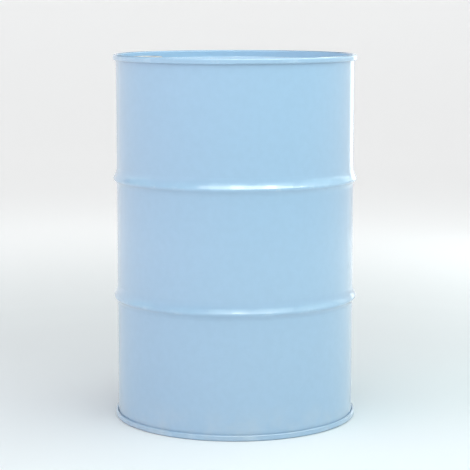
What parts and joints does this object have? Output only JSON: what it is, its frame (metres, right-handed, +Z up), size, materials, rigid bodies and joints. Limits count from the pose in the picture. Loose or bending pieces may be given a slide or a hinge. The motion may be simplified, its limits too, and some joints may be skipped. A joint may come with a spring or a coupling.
{
  "type": "closed-head steel drum",
  "caption": "Upright closed-head steel drum for liquids, with rolling hoops, rolled chimes and two screwed bungs in its recessed top.",
  "frame": {"origin": "centre of the bottom chime's contact plane, on the drum's axis", "axes": "+Z up along the drum's axis; the 2 inch bung is on -X and the 3/4 inch bung on +X"},
  "size_m": [0.5898, 0.5896, 0.88],
  "materials": {
    "painted_steel": "satin gloss light blue paint",
    "zinc_plated_steel": "bright zinc plating",
    "black_rubber": "matt",
    "seam_compound": "dull"
  },
  "bodies": {
    "drum": {"body_shell": "painted_steel", "top_head": "painted_steel", "bottom_head": "painted_steel", "top_seam_compound": "seam_compound", "bottom_seam_compound": "seam_compound", "bung_flange_2in": "zinc_plated_steel", "bung_flange_2in_gasket": "black_rubber", "bung_flange_3_4in": "zinc_plated_steel", "bung_flange_3_4in_gasket": "black_rubber"},
    "gasket_2in": {"plug_2in_gasket": "black_rubber"},
    "plug_2in": {"plug_2in": "zinc_plated_steel"},
    "gasket_3_4in": {"plug_3_4in_gasket": "black_rubber"},
    "plug_3_4in": {"plug_3_4in": "zinc_plated_steel"}
  },
  "joints": [
    {"name": "plug_2in_lift", "type": "slide", "parent": "drum", "child": "gasket_2in", "axis": [0, 0, 1], "range_m": [0, 0.01621]},
    {"name": "plug_2in_turn", "type": "hinge", "parent": "gasket_2in", "child": "plug_2in", "pos_m": [-0.21, 0, 0.87], "axis": [0, 0, 1], "range_deg": [0, 2520]},
    {"name": "plug_3_4in_lift", "type": "slide", "parent": "drum", "child": "gasket_3_4in", "axis": [0, 0, 1], "range_m": [0, 0.01275]},
    {"name": "plug_3_4in_turn", "type": "hinge", "parent": "gasket_3_4in", "child": "plug_3_4in", "pos_m": [0.222, 0, 0.87], "axis": [0, 0, 1], "range_deg": [0, 2520]}
  ],
  "couplings": [
    {"joint": "plug_2in_lift", "follows": "plug_2in_turn", "m_per_rad": 0.00036749},
    {"joint": "plug_3_4in_lift", "follows": "plug_3_4in_turn", "m_per_rad": 0.00028871}
  ]
}
